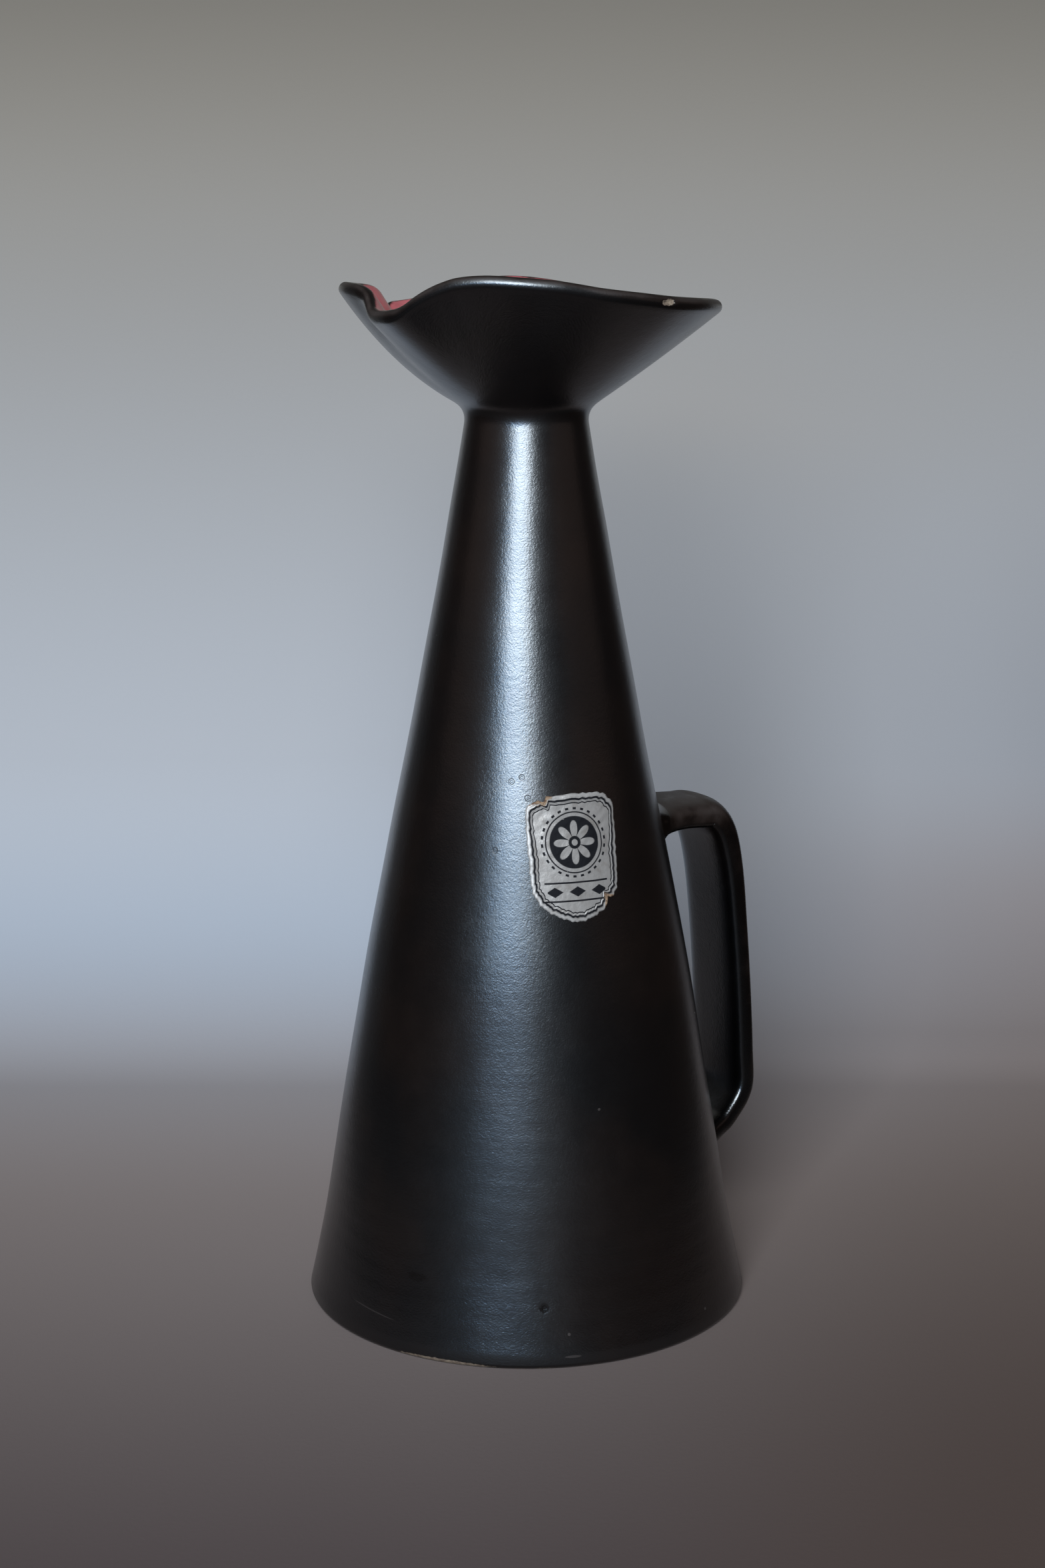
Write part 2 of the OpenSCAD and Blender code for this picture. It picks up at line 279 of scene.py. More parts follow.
def strap_line():
    """The strap's middle line in the handle's own plane: radius, z, thickness, distance from the wall."""
    low, high = HEIGHT * HANDLE_FOOT, HEIGHT * HANDLE_TOP
    share = np.array(STRAP)
    z = low + (high - low) * share[:, 1]
    away = HANDLE_REACH * share[:, 0]
    rows = np.stack([wall_radius(z) + away, z, HANDLE_THICKNESS * share[:, 2], away], -1)
    padded = np.concatenate([rows[:1], rows, rows[-1:]])
    cuts = []
    for i in range(len(rows) - 1):
        a, b, c, d = padded[i:i + 4]
        for t in np.arange(STRAP_CUTS) / STRAP_CUTS:
            cuts.append(between(a, b, c, d, t))
    return np.array(cuts + [rows[-1]])


def strap_rings():
    """The strap as ring by section point by (x, y, z), with the middle of each ring.

    Then, for each section point, how near it is to the strap's edges and to its outer face."""
    line = strap_line()
    forward = np.gradient(line[:, :2], axis=0)
    forward /= np.linalg.norm(forward, axis=1, keepdims=True)
    out = np.stack([-forward[:, 1], forward[:, 0]], -1)
    spread = 1 + ROOT_FLARE * np.exp(-np.maximum(line[:, 3], 0) / 6)
    b = np.radians(np.arange(SECTION_POINTS) * 360 / SECTION_POINTS)
    power = np.where(np.sin(b) > 0, 2.6, 4.5)
    across = np.sign(np.cos(b)) * np.abs(np.cos(b)) ** (2 / power)
    deep = np.sign(np.sin(b)) * np.abs(np.sin(b)) ** (2 / power)
    side = HANDLE_WIDTH / 2 * spread[:, None] * across
    lift = line[:, 2:3] / 2 * deep
    flat = np.stack([line[:, 0:1] + out[:, 0:1] * lift, side, line[:, 1:2] + out[:, 1:2] * lift], -1)
    middle = np.stack([line[:, 0], 0 * line[:, 0], line[:, 1]], -1)
    turn = math.radians(HANDLE_TURN)
    spin = np.array([[math.cos(turn), -math.sin(turn), 0], [math.sin(turn), math.cos(turn), 0], [0, 0, 1]])
    edge, outer = np.abs(np.cos(b)) ** 6, np.maximum(np.sin(b), 0)
    return flat @ spin.T, middle @ spin.T, edge, outer


def polar(points):
    """Angle and radius of points."""
    return np.degrees(np.arctan2(points[..., 1], points[..., 0])), np.hypot(points[..., 0], points[..., 1])


def lift_off(points):
    """Distance of points from the wall's surface."""
    angle, radius = polar(points)
    return (radius - surface_radius(angle, points[..., 2])) * LIFT_SHARE


def onto_wall(points):
    """Points moved along their radius onto the wall."""
    angle, radius = polar(points)
    scale = surface_radius(angle, points[..., 2]) / radius
    return np.stack([points[..., 0] * scale, points[..., 1] * scale, points[..., 2]], -1)


def unit(v):
    """Vectors brought to a length of 1."""
    return v / np.linalg.norm(v, axis=-1, keepdims=True)


def leaves_wall(rings, fillet):
    """The fractional ring where each line along the strap stands as high off the wall as its fillet."""
    height = lift_off(rings) - fillet
    found = np.argmax(height > 0, axis=0)
    k = np.arange(rings.shape[1])
    before, after = height[found - 1, k], height[found, k]
    return found - 1 + before / (before - after)


def at_station(rings, station):
    """Points of the lines along the strap at fractional ring numbers."""
    k = np.arange(rings.shape[1])
    i = np.clip(station.astype(int), 0, len(rings) - 2)
    t = (station - i)[..., None]
    return rings[i, k] * (1 - t) + rings[i + 1, k] * t


def fillet_rows(start, before, centre, size):
    """Rows of points from the strap's end in a hollow curve out onto the wall."""
    angle, _ = polar(start)
    a = np.radians(angle)
    normal = unit(np.stack([np.cos(a), np.sin(a), 0 * a + WALL_LEAN], -1))
    round_it = np.roll(start, -1, axis=0) - np.roll(start, 1, axis=0)
    outward = unit(np.cross(round_it, normal))
    outward *= np.sign(((start - centre) * outward).sum(-1, keepdims=True))
    forward = unit(start - before)
    size = size[:, None]
    end = onto_wall(start - normal * size + outward * size * 1.15)
    hold = 0.56 * size
    first, second = start + forward * hold, end - outward * hold
    rows = []
    for t in np.linspace(0, 1, FILLET_STEPS + 1)[1:]:
        row = start * (1 - t) ** 3 + 3 * first * t * (1 - t) ** 2
        rows.append(row + 3 * second * t * t * (1 - t) + end * t ** 3)
    rows[-1] = onto_wall(rows[-1])
    return rows


def handle_rows():
    """The whole handle as rows of points, from its upper ring on the wall to its lower one, and its wear.

    The fillets differ a little in size around each root, as they do when smoothed by hand."""
    rings, middle, edge, outer = strap_rings()
    b = np.radians(np.arange(SECTION_POINTS) * 360 / SECTION_POINTS)
    upper = 3.6 + 0.6 * np.sin(b + 0.6) + 0.3 * np.sin(3 * b)
    lower = 3.8 + 0.7 * np.sin(b + 2.2) + 0.3 * np.cos(2 * b)
    first = leaves_wall(rings, upper)
    last = len(rings) - 1 - leaves_wall(rings[::-1], lower)
    stations = first + (last - first) * np.linspace(0, 1, STRAP_ROWS)[:, None]
    body = at_station(rings, stations)
    centre = at_station(np.repeat(middle[:, None], SECTION_POINTS, axis=1), np.stack([first, last]))
    top = fillet_rows(body[0], body[1], centre[0], upper)
    bottom = fillet_rows(body[-1], body[-2], centre[1], lower)
    rows = top[::-1] + list(body) + bottom
    fade = np.ones(len(rows))
    fade[:FILLET_STEPS] = fade[-FILLET_STEPS:] = 0
    arm = np.clip((0.42 - np.linspace(0, 1, len(rows))) / 0.15, 0, 1)[:, None]
    return np.array(rows), fade[:, None] * (edge * (0.55 + 0.25 * arm) + outer * (0.62 + 0.48 * arm))


def inside(points, ring):
    """Which points lie inside a closed polygon."""
    x, y = points[:, 0:1], points[:, 1:2]
    x0, y0 = ring[:, 0], ring[:, 1]
    x1, y1 = np.roll(x0, -1), np.roll(y0, -1)
    crosses = (y0 > y) != (y1 > y)
    at = x0 + (y - y0) / np.where(y1 == y0, 1, y1 - y0) * (x1 - x0)
    return (crosses & (x < at)).sum(1) % 2 == 1


def unrolled(points, reference=50):
    """The wall laid flat around the handle's side: arc at a reference radius, and z."""
    angle, _ = polar(points)
    turned = (angle - HANDLE_TURN + 180) % 360 - 180
    return np.stack([np.radians(turned) * reference, points[:, 2]], -1)


def chained(edges):
    """A closed loop of vertex numbers from its loose edges."""
    following = dict(edges)
    loop = [edges[0][0]]
    while following[loop[-1]] != loop[0]:
        loop.append(following[loop[-1]])
    return loop


def root_patch(points, faces, ring):
    """Opens the wall round one root of the handle and fills the space up to the root's ring."""
    flat = unrolled(points)
    outline = flat[ring]
    round_it = unit(np.roll(outline, -1, axis=0) - np.roll(outline, 1, axis=0))
    outward = np.stack([round_it[:, 1], -round_it[:, 0]], -1)
    outward *= np.sign(((outline - outline.mean(0)) * outward).sum(-1, keepdims=True))
    room = outline + outward * ROOT_ROOM
    quads = np.array(faces)
    centre = points[quads].mean(1)
    # Only faces of the wall's outside, on the handle's side, can be opened.
    near = (np.abs(lift_off(centre)) < 0.6) & (np.abs(unrolled(centre)[:, 0]) < 40)
    taken = np.zeros(len(quads), bool)
    taken[near] = inside(unrolled(centre[near]), room)
    edges = {}
    for a, b, c, d in quads[taken]:
        for edge in ((a, b), (b, c), (c, d), (d, a)):
            if edge[::-1] in edges:
                del edges[edge[::-1]]
            else:
                edges[edge] = True
    loop = chained(list(edges))
    numbers = loop + list(ring)
    corners = [Vector(flat[i]) for i in numbers]
    wall_side, root_side = len(loop), len(ring)
    bounds = [(i, (i + 1) % wall_side) for i in range(wall_side)]
    bounds += [(wall_side + i, wall_side + (i + 1) % root_side) for i in range(root_side)]
    triangles = delaunay_2d_cdt(corners, bounds, [], 0, 1e-6)[2]
    patch = []
    for triangle in triangles:
        at = np.mean([flat[numbers[i]] for i in triangle], axis=0)[None]
        if inside(at, flat[loop])[0] and not inside(at, outline)[0]:
            p, q, s = (flat[numbers[i]] for i in triangle)
            ccw = (q[0] - p[0]) * (s[1] - p[1]) - (q[1] - p[1]) * (s[0] - p[0]) > 0
            patch.append([numbers[i] for i in (triangle if ccw else triangle[::-1])])
    return quads[~taken].tolist(), patch


def closed_grid(rows, columns, first=0):
    """Quads of a grid that closes on itself across its columns."""
    faces = []
    for i in range(rows - 1):
        for k in range(columns):
            a, b = first + i * columns + k, first + i * columns + (k + 1) % columns
            faces.append((a, b, b + columns, a + columns))
    return faces


def add_mesh(name, points, faces, values, material):
    """A smooth object from points in millimetres, with named values at its points."""
    mesh = bpy.data.meshes.new(name)
    mesh.from_pydata((np.asarray(points) * MM).tolist(), [], faces)
    for key, numbers in values.items():
        vector = np.ndim(numbers) == 2
        attribute = mesh.attributes.new(key, "FLOAT_VECTOR" if vector else "FLOAT", "POINT")
        attribute.data.foreach_set("vector" if vector else "value", np.asarray(numbers, np.float32).ravel())
    mesh.shade_smooth()
    mesh.materials.append(material)
    piece = bpy.data.objects.new(name, mesh)
    bpy.context.scene.collection.objects.link(piece)
    return piece


def dented(points, depth, angle, z, radius, across, up):
    """Points pressed in, toward the jug's axis, around one mark."""
    a = math.radians(angle)
    sideways = points @ [-math.sin(a), math.cos(a), 0]
    outward = np.array([math.cos(a), math.sin(a), 0])
    near = np.abs(points @ outward - radius) < 4
    far = (sideways / across) ** 2 + ((points[:, 2] - z) / up) ** 2
    return points - (near * depth * np.clip(1.25 - far, 0, 1))[:, None] * outward


def make_jug(material):
    """Body, mouth and handle as one closed mesh."""
    angle = np.arange(COLUMNS) * 360 / COLUMNS
    line, past_crest = jug_profiles(angle)
    a = np.radians(angle)[:, None]
    skin = np.stack([line[..., 0] * np.cos(a), line[..., 0] * np.sin(a), line[..., 1]], -1)
    skin = skin.transpose(1, 0, 2)
    rows = len(skin)
    middles = np.array([[0, 0, FOOT_HOLLOW], [0, 0, FLOOR]])
    under, over = rows * COLUMNS, rows * COLUMNS + 1
    strap, strap_wear = handle_rows()
    first = over + 1
    points = np.concatenate([skin.reshape(-1, 3), middles, strap.reshape(-1, 3)])
    faces = closed_grid(rows, COLUMNS)
    faces, top_patch = root_patch(points, faces, list(range(first, first + SECTION_POINTS)))
    last = first + (len(strap) - 1) * SECTION_POINTS
    faces, low_patch = root_patch(points, faces, list(range(last, last + SECTION_POINTS)))
    for k in range(COLUMNS):
        after = (k + 1) % COLUMNS
        faces.append((under, after, k))
        faces.append((over, (rows - 1) * COLUMNS + k, (rows - 1) * COLUMNS + after))
    faces += top_patch + low_patch + closed_grid(len(strap), SECTION_POINTS, first)
    extra = strap.shape[0] * SECTION_POINTS
    # Below 0 is outside the rim's crest and above 0 inside; the two middles and the handle lie far from it.
    past = np.concatenate([past_crest.T.ravel(), [-300, 300], np.full(extra, -100)])
    wear = np.exp(-(past / 1.6) ** 2)
    wear[-extra:] = strap_wear.ravel()
    points = dented(points, CHIP_DEPTH, **CHIP)
    points = dented(points, PIT_DEPTH, **PIT)
    handle = np.zeros(len(points))
    handle[-extra:] = 1
    values = {"past_crest": past, "wear": wear, "handle": handle}
    return add_mesh("glazed_jug", points, faces, values, material)


def smooth_outline(points, cuts):
    """A closed rounded line through points."""
    p = np.asarray(points, float)
    a, b, c, d = np.roll(p, 1, axis=0), p, np.roll(p, -1, axis=0), np.roll(p, -2, axis=0)
    rows = [between(a, b, c, d, t) for t in np.arange(cuts) / cuts]
    return np.stack(rows, 1).reshape(-1, 2)


def on_label(x, y, lift):
    """Points over the wall from places on the flat label, with y upward."""
    z = LABEL_Z + y
    a = np.radians(LABEL_TURN) + x / wall_radius(z)
    r = surface_radius(np.degrees(a), z) + lift
    return np.stack([r * np.cos(a), r * np.sin(a), z + 0 * x], -1)


def make_label(material):
    """The foil label: a thin closed skin on the wall with torn edges, wrinkles and a lifted corner."""
    outline = smooth_outline(SHIELD, LABEL_CUTS)[::-1] * [LABEL_WIDTH, LABEL_HEIGHT]
    turn = np.arctan2(outline[:, 1], outline[:, 0])
    ragged = 0.12 * np.sin(31 * turn) + 0.1 * np.sin(53 * turn + 1) + 0.08 * np.sin(83 * turn)
    torn = np.exp(-((np.degrees(turn) + 52) / 9) ** 2)
    torn = torn + 0.8 * np.exp(-((np.degrees(turn) - 118) / 13) ** 2)
    bite = 0.25 + ragged + torn * (1.1 + 0.7 * np.sin(19 * turn) + 0.4 * np.sin(41 * turn))
    outline = outline * (1 - np.maximum(bite, 0) / np.linalg.norm(outline, axis=1))[:, None]
    count = len(outline)
    share = np.linspace(0, 1, LABEL_RINGS + 1)[1:] ** 0.8
    flat = outline[None] * share[:, None, None]
    x, y = flat[..., 0], flat[..., 1]
    inset = np.linalg.norm(outline, axis=1)[None] * (1 - share[:, None])
    wrinkle = 0.05 * np.sin(0.9 * x + 0.5 * y) + 0.05 * np.sin(1.9 * y - 0.7 * x + np.sin(x)) * (y > 0)
    upright, level = (x + 11.5 + 0.05 * y) / 1.1, (y - 12 - 0.2 * x) / 0.7
    wrinkle += 0.07 * np.exp(-upright ** 2) - 0.05 * np.exp(-level ** 2)
    lifted = torn[None] * 0.45 * np.exp(-inset / 1.2)
    height = LABEL_THICKNESS + wrinkle + lifted - 0.12 * np.exp(-inset / 0.25)
    top = on_label(x, y, height).reshape(-1, 3)
    edge = on_label(outline[:, 0], outline[:, 1], np.full(count, LABEL_GAP))
    zero = np.zeros(1)
    middle = on_label(zero, zero, np.array([LABEL_THICKNESS]))
    under = on_label(zero, zero, np.array([-LABEL_SINK]))
    points = np.concatenate([top, edge, middle, under])
    last = LABEL_RINGS * count
    centre, below = last + count, last + count + 1
    faces = [(b, a, d, c) for a, b, c, d in closed_grid(LABEL_RINGS + 1, count)]
    for k in range(count):
        after = (k + 1) % count
        faces.append((centre, k, after))
        faces.append((below, last + after, last + k))
    # Place on the flat label and distance from its edge, where the two middles lie far from the edge
    sheet = np.stack([x, y, inset], -1).reshape(-1, 3)
    rim = np.stack([outline[:, 0], outline[:, 1], 0 * turn], -1)
    sheet = np.concatenate([sheet, rim, [[0, 0, 12], [0, 0, 12]]])
    worn = np.broadcast_to(torn, (LABEL_RINGS, count)).ravel() * np.exp(-inset.ravel() / 1.6)
    worn = np.concatenate([worn, torn, [0, 0]])
    return add_mesh("foil_label", points, faces, {"sheet": sheet, "torn": worn}, material)


class Value:
    """A shader socket that does sums like a number."""

    def __init__(self, tree, socket):
        self.tree = tree
        self.socket = socket

    def node(self, kind, settings, *inputs, out=None):
        """Any other node: its settings, then its inputs in order; out names one of its outputs."""
        made = self.tree.nodes.new(kind)
        for key, setting in settings.items():
            setattr(made, key, setting)
        for socket, value in zip([s for s in made.inputs if s.enabled], inputs):
            if isinstance(value, Value):
                self.tree.links.new(value.socket, socket)
            else:
                socket.default_value = value
        if out:
            return Value(self.tree, made.outputs[out])
        return Value(self.tree, [s for s in made.outputs if s.enabled][0])

    def math(self, operation, *inputs):
        """A Math node on numbers."""
        return self.node("ShaderNodeMath", dict(operation=operation), *inputs)

    def __add__(self, other):
        return self.math("ADD", self, other)

    def __radd__(self, other):
        return self.math("ADD", other, self)

    def __sub__(self, other):
        return self.math("SUBTRACT", self, other)

    def __rsub__(self, other):
        return self.math("SUBTRACT", other, self)

    def __mul__(self, other):
        return self.math("MULTIPLY", self, other)

    def __rmul__(self, other):
        return self.math("MULTIPLY", other, self)

    def __truediv__(self, other):
        return self.math("DIVIDE", self, other)

    def __pow__(self, other):
        return self.math("POWER", self, other)

    def __abs__(self):
        return self.math("ABSOLUTE", self)

    def sin(self):
        return self.math("SINE", self)

    def cos(self):
        return self.math("COSINE", self)

    def most(self, other):
        """The greater of the two."""
        return self.math("MAXIMUM", self, other)

    def step(self, start, end):
        """0 before start and 1 past end, with soft ends; start may be the higher one."""
        if start > end:
            return 1 - self.step(end, start)
        soft = dict(interpolation_type="SMOOTHSTEP")
        return self.node("ShaderNodeMapRange", soft, self, start, end, 0.0, 1.0)

    def parts(self):
        """The three numbers of a vector."""
        split = self.tree.nodes.new("ShaderNodeSeparateXYZ")
        self.tree.links.new(self.socket, split.inputs[0])
        return [Value(self.tree, s) for s in split.outputs]


class Paint:
    """A new material and the few things its recipe needs."""

    def __init__(self, name):
        self.material = bpy.data.materials.new(name)
        self.material.use_nodes = True
        self.tree = self.material.node_tree
        self.shader = self.tree.nodes["Principled BSDF"]
        coordinates = self.tree.nodes.new("ShaderNodeTexCoord")
        self.place = Value(self.tree, coordinates.outputs["Object"])
        self.x, self.y, self.z = (part / MM for part in self.place.parts())

    def point(self, name, out="Fac"):
        """A named value of the mesh's points, as a number or, with out Vector, as a vector."""
        return self.place.node("ShaderNodeAttribute", dict(attribute_name=name), out=out)

    def noise(self, size, detail=2):
        """Smooth noise from 0 to 1 whose lumps are about size millimetres across."""
        return self.place.node("ShaderNodeTexNoise", {}, self.place, 1 / (size * MM), detail)

    def cracks(self, size):
        """Distance to the nearest crack of a net whose cells are about size millimetres across."""
        net = dict(feature="DISTANCE_TO_EDGE")
        return self.place.node("ShaderNodeTexVoronoi", net, self.place, 1 / (size * MM))

    def mix(self, share, first, second):
        """A colour between two colours."""
        ends = [c if isinstance(c, Value) else (*c, 1) for c in (first, second)]
        return self.place.node("ShaderNodeMix", dict(data_type="RGBA"), share, *ends)

    def spot(self, angle, z, radius, across, up, ragged=0, turn=0):
        """1 inside a patch on the wall and 0 outside, from its place and half sizes."""
        a, t = math.radians(angle), math.radians(turn)
        sideways = self.y * math.cos(a) - self.x * math.sin(a)
        upward = self.z - z
        u = (sideways * math.cos(t) + upward * math.sin(t)) / across
        v = (upward * math.cos(t) - sideways * math.sin(t)) / up
        near = (self.x * math.cos(a) + self.y * math.sin(a)).step(radius * 0.7, radius * 0.75)
        return ((u * u + v * v) ** 0.5 + ragged).step(1.15, 0.85) * near

    def finish(self, height=None, **inputs):
        """Links what varies over the surface and sets the rest; height is in millimetres."""
        for key, value in inputs.items():
            socket = self.shader.inputs[key.replace("_", " ").title().replace("Ior", "IOR")]
            if isinstance(value, Value):
                self.tree.links.new(value.socket, socket)
            else:
                socket.default_value = value
        if height is not None:
            bump = self.tree.nodes.new("ShaderNodeBump")
            bump.inputs["Distance"].default_value = MM
            self.tree.links.new(height.socket, bump.inputs["Height"])
            self.tree.links.new(bump.outputs[0], self.shader.inputs["Normal"])
        return self.material


def black_glaze():
    """Satin black glaze with a metallic sheen, brown where it is thin, red lining, bare clay foot."""
    p = Paint("black_glaze")
    past, wear, handle = p.point("past_crest"), p.point("wear"), p.point("handle")
    drift, cloud = p.noise(48, 3), p.noise(8, 4)
    grain, fine, finest = p.noise(1.3, 3), p.noise(0.5, 2), p.noise(0.24, 1)

    # Where each thing shows
    ragged = p.noise(1.2, 3) * 1.2 - 0.6
    chip = p.spot(**CHIP, ragged=ragged)
    foot = (p.z + p.noise(7, 4) * 2.2 - 0.6).step(1.0, 0.4)
    foot = foot.most(p.spot(**BARE, ragged=ragged * 0.5) * 0.7)
    bare = chip.most(foot)
    lining = (past + p.noise(3.5, 2) * 2.4 - 1.2).step(2.0, 3.2)
    thin = (wear * (cloud + 0.45)).step(0.5, 1.05)
    pit = p.spot(**PIT, ragged=ragged * 0.4)
    hole = p.spot(**{**PIT, "across": 0.6, "up": 0.6})
    smudges = p.spot(**SMUDGES, ragged=ragged)
    scratch = p.spot(**SCRATCH, turn=-4)
    scuff = p.spot(**SCUFF)
    specks = sum(p.spot(*place, *SPECK_SIZE, ragged * 0.5) for place in SPECKS)
    pinholes = 0
    for place in PINHOLES:
        ring = p.spot(*place, *PINHOLE_RING, ragged * 0.5)
        pinholes = ring - p.spot(*place, *PINHOLE_SIZE) * 1.4 + pinholes
    a = math.radians(RUBBED_ANGLE)
    facing = (p.x * math.cos(a) + p.y * math.sin(a)) / (p.x * p.x + p.y * p.y) ** 0.5
    rubbed = facing.step(0.93, 0.985) * p.z.step(RUBBED_LOW - 12, RUBBED_LOW + 20)
    rubbed = rubbed * p.z.step(RUBBED_HIGH + 15, RUBBED_HIGH - 20)
    crazing = p.cracks(1.5).step(0.12, 0.02) * p.noise(9, 3).step(0.45, 0.65)
    low = p.z.step(55, 5)

    brown = drift.step(0.4, 0.65) * (cloud * 0.6 + 0.5)
    black = p.mix(brown, (0.0013, 0.0011, 0.0012), (0.0044, 0.0024, 0.0018))
    # Painted shade: the handle's glaze is made blacker than the body's, for the shade on its inner face.
    black = p.mix(handle * 0.6, black, (0, 0, 0))
    colour = p.mix(thin * 0.6, black, (0.022, 0.011, 0.007))
    red = p.mix(cloud.step(0.3, 0.7), (0.31, 0.062, 0.068), (0.38, 0.10, 0.105))
    colour = p.mix(lining, colour, red)
    clay = p.mix(grain.step(0.3, 0.7), (0.095, 0.06, 0.04), (0.19, 0.135, 0.09))
    colour = p.mix(bare, colour, clay)
    colour = p.mix(scratch * 0.12 + scuff * 0.2 + specks * 0.3, colour, (0.09, 0.072, 0.065))

    rough = 0.155 + cloud * 0.09 + grain * 0.05 + fine * 0.04
    rough = rough + rubbed * (grain * 0.04 + crazing * 0.06)
    rough = rough + thin * 0.28 + wear * 0.08 - pit * 0.05 - smudges * 0.05
    rough = rough - handle * 0.03 - low * 0.035
    rough = rough * (1 - lining) + lining * 0.22
    rough = rough * (1 - bare) + bare * 0.8

    # Throwing rings low on the body, then the glaze's grain, then the marks
    height = (p.z * 1.05 + p.noise(30, 2) * 6).sin() * p.z.step(110, 30) * 0.008
    height = height + (p.z * 2.3 + p.noise(40, 2) * 12).sin() * 0.0015
    height = height + grain * 0.032 + fine * 0.045 + finest * 0.012 + p.noise(5, 2) * 0.035
    height = height - chip * grain * 0.5 - hole * 0.4 - crazing * rubbed * 0.008
    height = height - scratch * 0.03 - pinholes * 0.12

    sheen = 0.25 * (1 - smudges * 0.6) * (1 - pit) * (1 - handle) * (1 - low * 0.6)
    return p.finish(
        base_color=colour, roughness=rough, height=height, ior=1.6, coat_weight=sheen, coat_roughness=0.4)


def silver_foil():
    """Silver-grey foil with a worn dark print of a rosette, lozenges and lines, brown where it is torn."""
    p = Paint("silver_foil")
    x, y, inset = p.point("sheet", "Vector").parts()
    torn = p.point("torn")
    cloud, fleck, fine = p.noise(4, 3), p.noise(0.8, 3), p.noise(0.3, 2)
    border = inset.step(1.15, 1.3) * inset.step(1.95, 1.8)
    border = border.most(inset.step(2.4, 2.5) * inset.step(2.85, 2.75))
    up = y - 4.6
    reach = (x * x + up * up) ** 0.5
    turn = up.math("ARCTAN2", up, x)
    petals = abs((turn * 4).cos()) ** 0.55 * 6.2
    flower = (petals - reach).step(-0.2, 0.3) * reach.step(1.7, 2.0)
    disc = reach.step(7.6, 7.3)
    motif = disc * (1 - flower) * reach.step(0.8, 1.0)
    motif = motif.most(reach.step(8.3, 8.45) * reach.step(8.85, 8.7))
    beads = (turn * 26).sin().step(0.0, 0.4) * reach.step(9.25, 9.35) * reach.step(10.0, 9.9)
    below = y + 9.3
    lozenges = (x.math("PINGPONG", x + 20.4, 3.4) / 2.6 + abs(below) / 1.5).step(1.05, 0.9)
    lozenges = lozenges * abs(x).step(9.0, 8.8)
    rules = abs(abs(below) - 2.6).step(0.32, 0.2) * abs(x).step(9.8, 9.6)
    ink = motif.most(beads).most(lozenges).most(rules).most(border)
    ink = ink * (cloud * 0.6 + fleck).step(0.34, 0.52)
    paper = (torn + fleck * 0.5 - 0.25).step(0.32, 0.5)
    stain = cloud.step(0.5, 0.7) * 0.35
    foil = p.mix(stain, (0.265, 0.236, 0.215), (0.13, 0.102, 0.08))
    # Painted highlight: the foil is paler near its edge.
    foil = p.mix(inset.step(1.3, 0.5) * 0.3, foil, (0.44, 0.40, 0.37))
    colour = p.mix(ink, foil, (0.004, 0.0035, 0.0045))
    brown = p.mix(fleck.step(0.35, 0.65), (0.075, 0.038, 0.022), (0.23, 0.15, 0.095))
    colour = p.mix(paper, colour, brown)
    metal = 0.35 * (1 - ink) * (1 - paper)
    rough = 0.40 + ink * 0.3 + paper * 0.4 + fine * 0.08
    ridge = inset.step(0.9, 1.3) * inset.step(2.4, 1.9) * 0.12
    height = p.noise(2.2, 3) * 0.2 + ridge + fine * 0.012 - ink * 0.01 + paper * fleck * 0.12
    return p.finish(base_color=colour, roughness=rough, metallic=metal, height=height, ior=1.25)


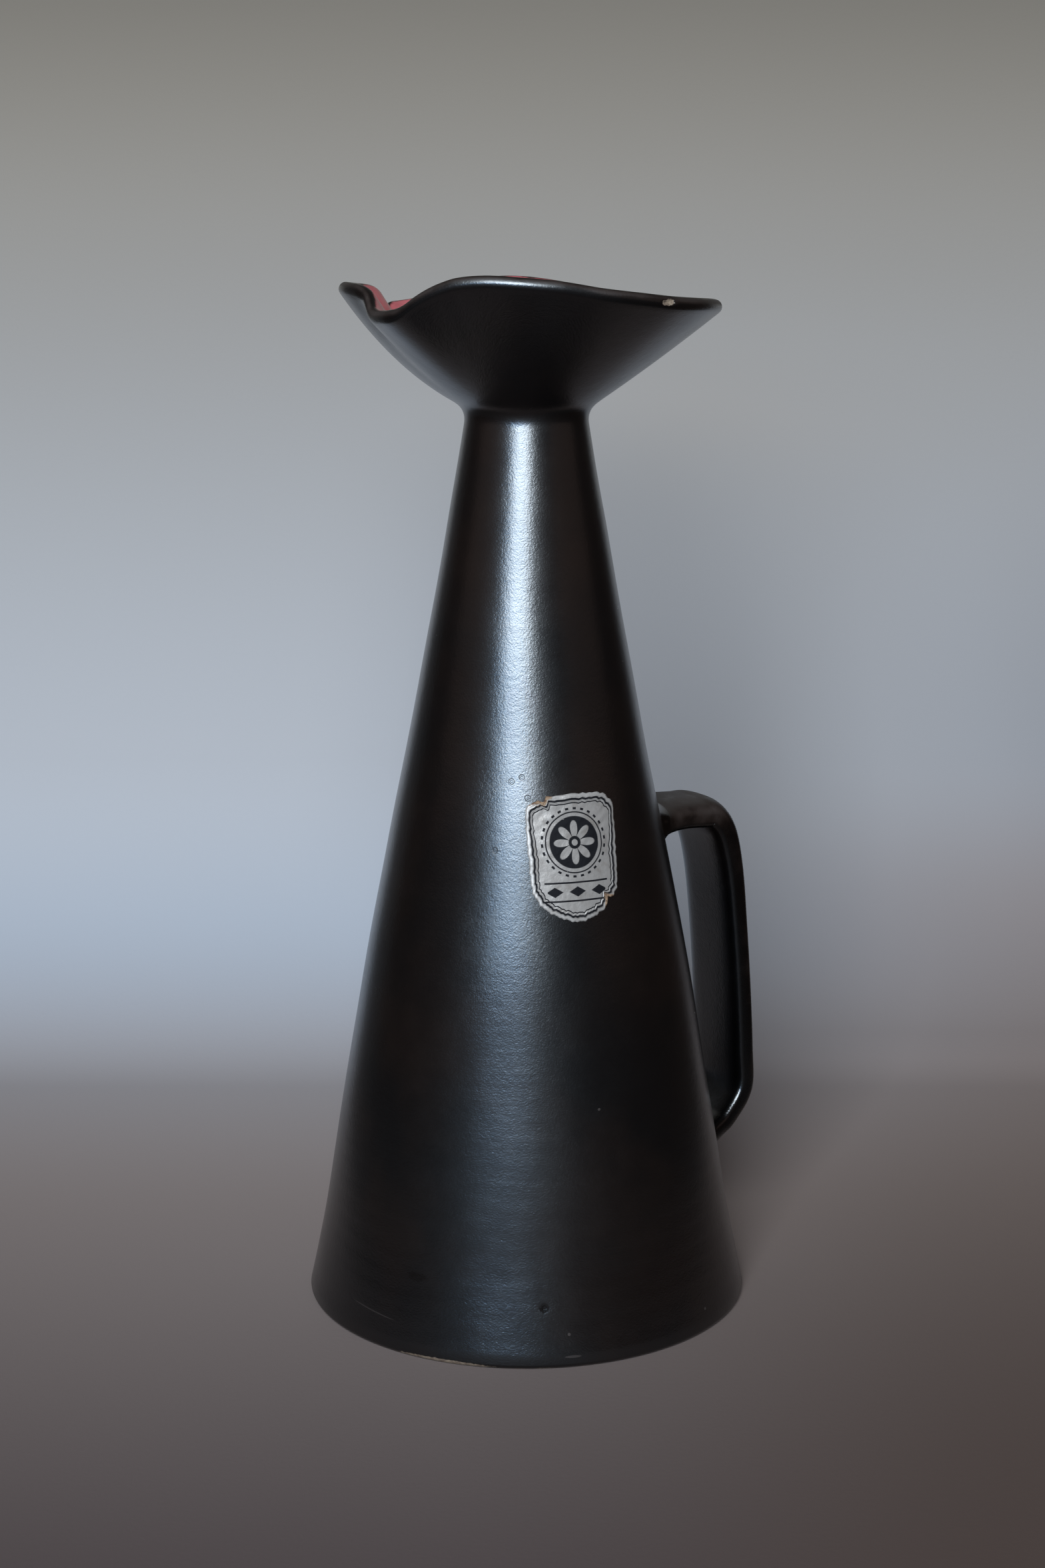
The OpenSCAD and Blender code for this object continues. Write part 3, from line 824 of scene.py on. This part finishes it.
def paper_with_painted_light():
    """The sweep of paper behind and below, its colour carrying painted light falloff and painted shade."""
    p = Paint("paper_with_painted_light")
    # Painted light: the wall is lightest a little above the floor, darker higher up and nearly black at the
    # top.
    wall = p.mix(p.z.step(420, 80), (0.197, 0.164, 0.130), (0.345, 0.329, 0.332))
    wall = p.mix(p.z.step(120, 20), wall, (0.276, 0.284, 0.309))
    wall = p.mix(p.z.step(330, 560), wall, (0.03, 0.021, 0.014))
    # Painted shade: the floor darkens toward the eye.
    floor = p.mix(p.y.step(280, -330), (0.252, 0.198, 0.176), (0.028, 0.0135, 0.0125))
    colour = p.mix((p.z + p.y * 0.4).step(20, 165), floor, wall)
    # Painted shadow: the wall right of the jug is darkened, and lower down a warmer brown.
    colour = p.mix(p.x.step(0, 300) * p.z.step(300, 110) * 0.45, colour, (0.072, 0.060, 0.056))
    colour = p.mix(p.x.step(0, 250) * p.z.step(120, 40) * 0.5, colour, (0.225, 0.15, 0.115))
    # Sideways place over the distance from the eye, so that it says where in the picture a point falls
    aside = p.x / (p.y + 793).most(200)
    # Painted shadow: the paper on the right near the eye, and the low wall just right of the jug, are
    # darkened so the glaze reflects shade there.
    painted_shade_near_right = aside.step(-0.04, 0.22) * p.y.step(330, -150) * p.z.step(120, 20)
    colour = p.mix(painted_shade_near_right * 0.68, colour, (0.026, 0.009, 0.003))
    painted_shade_low_right = aside.step(0, 0.17) * p.z.step(110, 20) * p.z.step(0, 10)
    colour = p.mix(painted_shade_low_right * 0.22, colour, (0.03, 0.02, 0.015))
    # Out of the camera's sight the paper is painted dark, painted shade standing in for an unlit room that
    # the glaze reflects.
    colour = p.mix(aside.step(-0.215, -0.27) * 0.94, colour, (0.022, 0.016, 0.012))
    colour = p.mix(aside.step(0.215, 0.26) * 0.9, colour, (0.012, 0.009, 0.007))
    fibre = p.noise(1.5, 4)
    # Seen from behind, the paper is clear, so that it doesn't hide the jug's back.
    front = 1 - p.place.node("ShaderNodeNewGeometry", {}, out="Backfacing")
    return p.finish(base_color=colour, roughness=0.9, height=fibre * 0.05, alpha=front)


def make_sweep(material):
    """Floor, a curve and a wall in one sheet."""
    edge, back, bend, top, left, right = -1600, 300, 110, 900, -620, 300
    turn = np.linspace(0, math.pi / 2, 14)
    line = [(edge, 0), (-200, 0), (back - bend, 0)]
    line += [(back - bend + bend * math.sin(t), bend - bend * math.cos(t)) for t in turn[1:]]
    line += [(back, top)]
    points = [(x, y, z) for y, z in line for x in (left, right)]
    faces = [(2 * i, 2 * i + 1, 2 * i + 3, 2 * i + 2) for i in range(len(line) - 1)]
    return add_mesh("sweep", points, faces, {}, material)


def add_light(name, place, aim, size, power, colour):
    """A soft rectangular light at a place, aimed at a point."""
    lamp = bpy.data.lights.new(name, "AREA")
    lamp.shape = "RECTANGLE"
    lamp.size, lamp.size_y = size
    lamp.energy = power
    lamp.color = colour
    holder = bpy.data.objects.new(name, lamp)
    holder.location = place
    holder.rotation_euler = (Vector(aim) - Vector(place)).to_track_quat("-Z", "Y").to_euler()
    bpy.context.scene.collection.objects.link(holder)


def light_room():
    """A window-like light behind the camera, its sill, weak low glows, and a dim warm room."""
    for light in LIGHTS:
        add_light(*light)
    world = bpy.data.worlds.new("room")
    world.use_nodes = True
    background = world.node_tree.nodes["Background"]
    background.inputs["Color"].default_value = ROOM_COLOUR
    background.inputs["Strength"].default_value = 1.0
    bpy.context.scene.world = world


def place_camera():
    """The photograph's view: eye height, tilt and lens worked out from the jug's outline."""
    lens = bpy.data.cameras.new("camera")
    lens.lens = LENS
    lens.sensor_width = 36
    lens.shift_x = LENS_SHIFT
    eye = bpy.data.objects.new("camera", lens)
    eye.location = EYE
    eye.rotation_euler = (math.radians(90 - EYE_TILT), 0, 0)
    bpy.context.scene.collection.objects.link(eye)
    bpy.context.scene.camera = eye


place_camera()
jug = make_jug(black_glaze())
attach(jug, "root")
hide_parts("jug")
label = make_label(silver_foil())
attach(label, "root")
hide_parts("label")
make_sweep(paper_with_painted_light())
light_room()
bpy.context.scene.view_settings.view_transform = "Standard"
